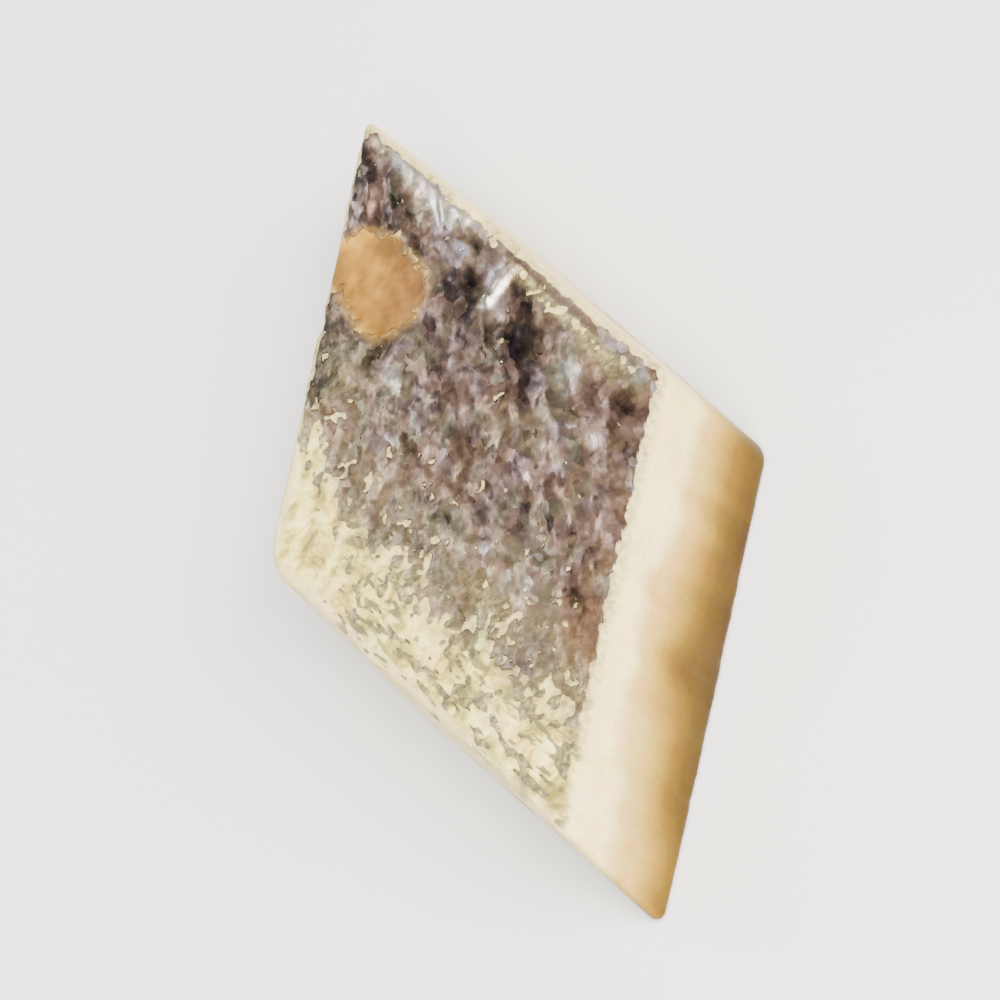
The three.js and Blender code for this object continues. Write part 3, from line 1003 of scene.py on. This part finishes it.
def beaten_silver_leaf():
    """Silver beaten to a few thousandths of a millimetre and pressed on the paste: a crumpled mirror of
    facets about a millimetre across, each with its own grey, painted as the dark or bright reflection that it
    shows, and faint tint, warm where it has tarnished, olive where it is rubbed so thin that the paste shows
    through and yellow-tan round the bare place, partly painted warm bounce light."""
    material, nodes, shader = new_material("beaten_silver_leaf")
    place = add_node(nodes, "ShaderNodeTexCoord").outputs["Object"]
    held = {
        name: add_node(nodes, "ShaderNodeAttribute", {"attribute_name": name}).outputs["Fac"]
        for name in ("bright", "warmth", "worn", "stained")
    }
    brushed = add_node(
        nodes,
        "ShaderNodeMapping",
        {"vector_type": "TEXTURE"},
        {"Vector": place, "Scale": (1, FACET_STRETCH, 1)},
    ).outputs["Vector"]
    # Facets with bent edges: a slow noise pushes each point aside before the cells are looked up
    warp = add_node(
        nodes,
        "ShaderNodeTexNoise",
        inputs={"Vector": brushed, "Scale": per_mm(BEND_SIZE), "Detail": BEND_DETAIL},
    ).outputs["Color"]
    push = add_node(
        nodes, "ShaderNodeVectorMath", {"operation": "SCALE"}, {0: warp, "Scale": BEND_REACH * MM}
    ).outputs[0]
    bent = add_node(nodes, "ShaderNodeVectorMath", {"operation": "ADD"}, {0: brushed, 1: push}).outputs[0]
    cells = [
        add_node(nodes, "ShaderNodeTexVoronoi", inputs={"Vector": bent, "Scale": per_mm(size)})
        for size in (SMALL_FACET, LARGE_FACET)
    ]
    small, large = (
        add_node(nodes, "ShaderNodeSeparateColor", inputs={0: cell.outputs["Color"]}) for cell in cells
    )
    grit = patterned(nodes, brushed, LEAF_GRIT)
    cloud = patterned(nodes, place, LEAF_CLOUD)
    # Each facet's grey is partly painted reflection: a painted flash for one facet in five, and the painted
    # glints and dark places
    painted_flash = add_node(nodes, "ShaderNodeValToRGB", {"stops": PAINTED_FLASHES}, {"Fac": small.outputs[2]})
    painted_glint_weight = add_node(
        nodes, "ShaderNodeMath", SHARE_ADDED, {0: small.outputs[1], 1: PAINTED_GLINT_STRAY, 2: PAINTED_GLINT_STRENGTH}
    ).outputs[0]
    greys = (small.outputs[0], large.outputs[0], grit, cloud, painted_flash.outputs["Color"], held["bright"])
    tone = DARKEST_TONE
    for grey, share in zip(greys, (*TONE_SHARES, painted_glint_weight)):
        tone = add_node(nodes, "ShaderNodeMath", SHARE_ADDED, {0: grey, 1: share, 2: tone}).outputs[0]
    silver_and_reflections, tint, tarnish = (
        add_node(nodes, "ShaderNodeValToRGB", {"stops": stops}, {"Fac": value}).outputs["Color"]
        for stops, value in ((SILVER_AND_PAINTED_REFLECTIONS, tone), (TINTS, large.outputs[1]), (TARNISH, held["warmth"]))
    )
    colour = silver_and_reflections
    # From the silver and its painted reflections outwards: each layer's share, how it is laid and its colour
    for share, laid, layer in (
        (TINT_SHARE, TINTED, tint),
        (1.0, TINTED, tarnish),
        (held["worn"], LAID_OVER, patterned(nodes, place, WORN_PATTERN)),
        (held["stained"], LAID_OVER, patterned(nodes, place, FRINGE_PATTERN)),
    ):
        colour = add_node(nodes, "ShaderNodeMix", laid, {0: share, 6: colour, 7: layer}).outputs[2]
    dulled = add_node(nodes, "ShaderNodeMath", LARGER, {0: held["worn"], 1: held["stained"]}).outputs[0]
    mirror = add_node(nodes, "ShaderNodeMath", SHARE_ADDED, {0: dulled, 1: -METAL_LOST, 2: METAL})
    wrinkles = add_node(
        nodes,
        "ShaderNodeTexNoise",
        {"noise_type": "RIDGED_MULTIFRACTAL"},
        {"Vector": bent, "Scale": per_mm(WRINKLE_SIZE), "Detail": 4.0, "Roughness": 0.6, "Lacunarity": 2.1},
    ).outputs["Fac"]
    height = add_node(nodes, "ShaderNodeMath", SHARE_ADDED, {0: wrinkles, 1: WRINKLE_SHARE, 2: grit})
    relief = {"Height": height.outputs[0], "Strength": WRINKLE_STRENGTH, "Distance": WRINKLE_HEIGHT * MM}
    facing = add_node(nodes, "ShaderNodeBump", inputs=relief).outputs["Normal"]
    # Each facet leans its own way, by its colour taken as a direction
    lean = cells[0].outputs["Color"]
    for operation, vectors in (
        ("SUBTRACT", {1: (0.5, 0.5, 0.5)}),
        ("SCALE", {"Scale": FACET_TILT}),
        ("ADD", {1: facing}),
        ("NORMALIZE", {}),
    ):
        settings, inputs = {"operation": operation}, {0: lean, **vectors}
        lean = add_node(nodes, "ShaderNodeVectorMath", settings, inputs).outputs[0]
    looks = {
        "Base Color": colour,
        "Metallic": mirror.outputs[0],
        "Roughness": patterned(nodes, place, POLISH),
        "Normal": lean,
    }
    set_inputs(nodes, shader, looks)
    return material


def matte_table():
    """Matt white laminate: a plain pale ground."""
    material, nodes, shader = new_material("matt_white_laminate")
    place = add_node(nodes, "ShaderNodeTexCoord").outputs["Object"]
    colour = patterned(nodes, place, TABLE_PATTERN)
    set_inputs(nodes, shader, {"Base Color": colour, "Roughness": TABLE_ROUGHNESS})
    return material


def strength_at(places, x, y):
    """The sum of a list of soft places at each point of the face."""
    right, left = side_shares(x, y)
    strengths = np.zeros(x.shape)
    for place in places:
        strengths += place[-1] * np.exp(-spread_from(place, right, left))
    return strengths


def make_slab():
    """The cut slab of paste in place of the solid, and how far the frame's middle lies from the cut's."""
    points, quads, fan = slab_skin()
    middle = (points.max(0) + points.min(0)) / 2
    shift = np.array([middle[0], middle[1], 0])
    slab = make_piece("paste_slab", points - shift, quads.tolist() + fan.tolist())
    right, left = side_shares(points[:, 0], points[:, 1])
    x, y, z = points.T
    on_face = smooth_step(*FACE_BAND, z - THICKNESS)
    density = leaf_density(right, left)
    spot = bare_spot(x, y)
    drift = noise(x / DRIFT_SIZE + DRIFT_START, y / DRIFT_SIZE)
    add_values(slab, "dressed", on_face * smooth_step(*BLOOM_BAND, density) * (1 - spot))
    # The bare place's tan, partly its own colour and partly painted warm bounce light
    add_values(slab, "golden", on_face * smooth_step(*GOLDEN_BAND, spot * (1 + GOLDEN_DRIFT * drift)))
    add_values(slab, "toasted", smooth_step(*BROWNER_BAND, right + BROWNER_DRIFT * drift))
    # Painted shade and painted gold reflection at the foot: stronger lower down, and climbing higher towards
    # the near corner of the near right-hand side
    wave = FOOT_WAVE * noise(x / FOOT_WAVE_SIZE + z / FOOT_WAVE_HEIGHT, y / FOOT_WAVE_SIZE)
    low = 1 - z / THICKNESS + FOOT_DRIFT * drift + wave
    lean = FOOT_LEAN[1] / (RIGHT_SIDE * math.sin(POINT_ANGLE)) * (1 - z / THICKNESS)
    shown = smooth_step(*SHOWN_BAND, right - lean)
    climb = FOOT_CLIMB * np.clip(left / FOOT_CLIMB_END, 0, 1)
    add_values(slab, "low", (low + climb * shown) * (HIDDEN_FOOT + (1 - HIDDEN_FOOT) * shown))
    across = np.minimum(np.minimum(right, 1 - right) * RIGHT_SIDE, np.minimum(left, 1 - left) * LEFT_SIDE)
    add_values(slab, "rolled", on_face * smooth_step(*ROLLED_BAND, across * math.sin(POINT_ANGLE)))
    margin = smooth_step(*MARGIN_BAND, left) * (1 - smooth_step(*MARGIN_END, left))
    margin = margin * smooth_step(*PAST_CORNER, right)
    gathered = smooth_step(*DASHED_BAND, noise(x / DASHED_SIZE + DASHED_START, y / DASHED_SIZE))
    add_values(slab, "dashed", on_face * margin * gathered)
    slab.data.materials.append(cut_cashew_paste())
    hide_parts("barfi_slab")
    return shift


def make_leaf(shift):
    """The beaten leaf as a thin sheet of its own over the slab."""
    reach = 1 + LEAF_OVERHANG
    side = np.linspace(-reach, reach, LEAF_CELLS + 1)
    p, q = np.meshgrid(side, side)
    skin, s, rho = face_skin(p, q)
    normals = grid_normals(skin)
    x, y = skin[..., 0], skin[..., 1]
    skin[..., 2] += fine_grain(x, y)
    leaf = skin + normals * (LEAF_LIFT + crumple(x, y))[..., None]
    cover = leaf_cover(x, y, rho, s)
    points, faces = clip_to_cover(leaf.reshape(-1, 3), grid_quads(*p.shape), cover.reshape(-1))
    points, faces = drop_scraps(points, faces, LEAST_SCRAP)
    points, faces = close_sheet(points, faces, np.array([0, 0, -LEAF_THICKNESS]))
    piece = make_piece("silver_leaf", points - shift, faces.tolist())
    x, y = points[:, 0], points[:, 1]
    # Painted highlights and painted dark reflections: lighter and darker leaf at the listed places
    add_values(piece, "bright", strength_at(PAINTED_GLINTS, x, y) - strength_at(PAINTED_DARK_REFLECTIONS, x, y))
    add_values(piece, "warmth", 0.5 + 0.5 * strength_at(WARM_PLACES, x, y))
    right, left = side_shares(x, y)
    fading = 1 - smooth_step(*FADING_BAND, leaf_density(right, left))
    worn = MOST_WORN * fading + strength_at(WORN_PLACES, x, y)
    add_values(piece, "worn", np.clip(worn, 0, MOST_WORN))
    drift = 1 + FRINGE_DRIFT * noise(x / FRINGE_DRIFT_SIZE, y / FRINGE_DRIFT_SIZE)
    add_values(piece, "stained", FRINGE_STRENGTH * smooth_step(*FRINGE_BAND, bare_spot(x, y) * drift))
    piece.data.materials.append(beaten_silver_leaf())


def make_table():
    points = TABLE_HALF * np.array([[-1, -1, 0], [1, -1, 0], [1, 1, 0], [-1, 1, 0]])
    mesh = bpy.data.meshes.new("table")
    mesh.from_pydata((points * MM).tolist(), [], [(0, 1, 2, 3)])
    table = bpy.data.objects.new("table", mesh)
    table.location.z = -TABLE_DROP * MM
    mesh.materials.append(matte_table())
    bpy.context.scene.collection.objects.link(table)


def soft_light(name, towards, distance, size, power, tint):
    """A square soft box that faces the piece from this direction."""
    lamp = bpy.data.lights.new(name, "AREA")
    lamp.shape = "SQUARE"
    lamp.size = size
    lamp.energy = power
    lamp.color = linear(tint)[:3]
    light = bpy.data.objects.new(name, lamp)
    direction = Vector(towards).normalized()
    light.location = direction * distance
    light.rotation_euler = direction.to_track_quat("Z", "Y").to_euler()
    bpy.context.scene.collection.objects.link(light)


def light_studio():
    for name, settings in SOFT_LIGHTS.items():
        soft_light(name, *settings)
    world = bpy.data.worlds.new("studio")
    world.use_nodes = True
    background = world.node_tree.nodes["Background"]
    background.inputs["Color"].default_value = linear(ROOM_TINT)
    background.inputs["Strength"].default_value = ROOM_STRENGTH
    bpy.context.scene.world = world


def place_camera(shift):
    """The photograph's view of the piece: from 47 degrees above its face, turned so the far point is up."""
    towards = Vector(VIEW_TOWARDS).normalized()
    up = Vector(VIEW_UP)
    up = (up - towards * up.dot(towards)).normalized()
    right = up.cross(towards)
    aim = Vector((-shift[0] * MM, -shift[1] * MM, VIEW_HEIGHT * MM))
    lens = bpy.data.cameras.new("photo_view")
    lens.lens = VIEW_LENS
    lens.sensor_width = VIEW_SENSOR
    lens.clip_start = VIEW_CLIP * MM
    camera = bpy.data.objects.new("photo_view", lens)
    turn = Matrix((right, up, towards)).transposed().to_4x4()
    camera.matrix_world = Matrix.Translation(aim + towards * VIEW_DISTANCE * MM) @ turn
    bpy.context.scene.collection.objects.link(camera)
    bpy.context.scene.camera = camera


shift = make_slab()
make_leaf(shift)
place_camera(shift)
light_studio()
make_table()
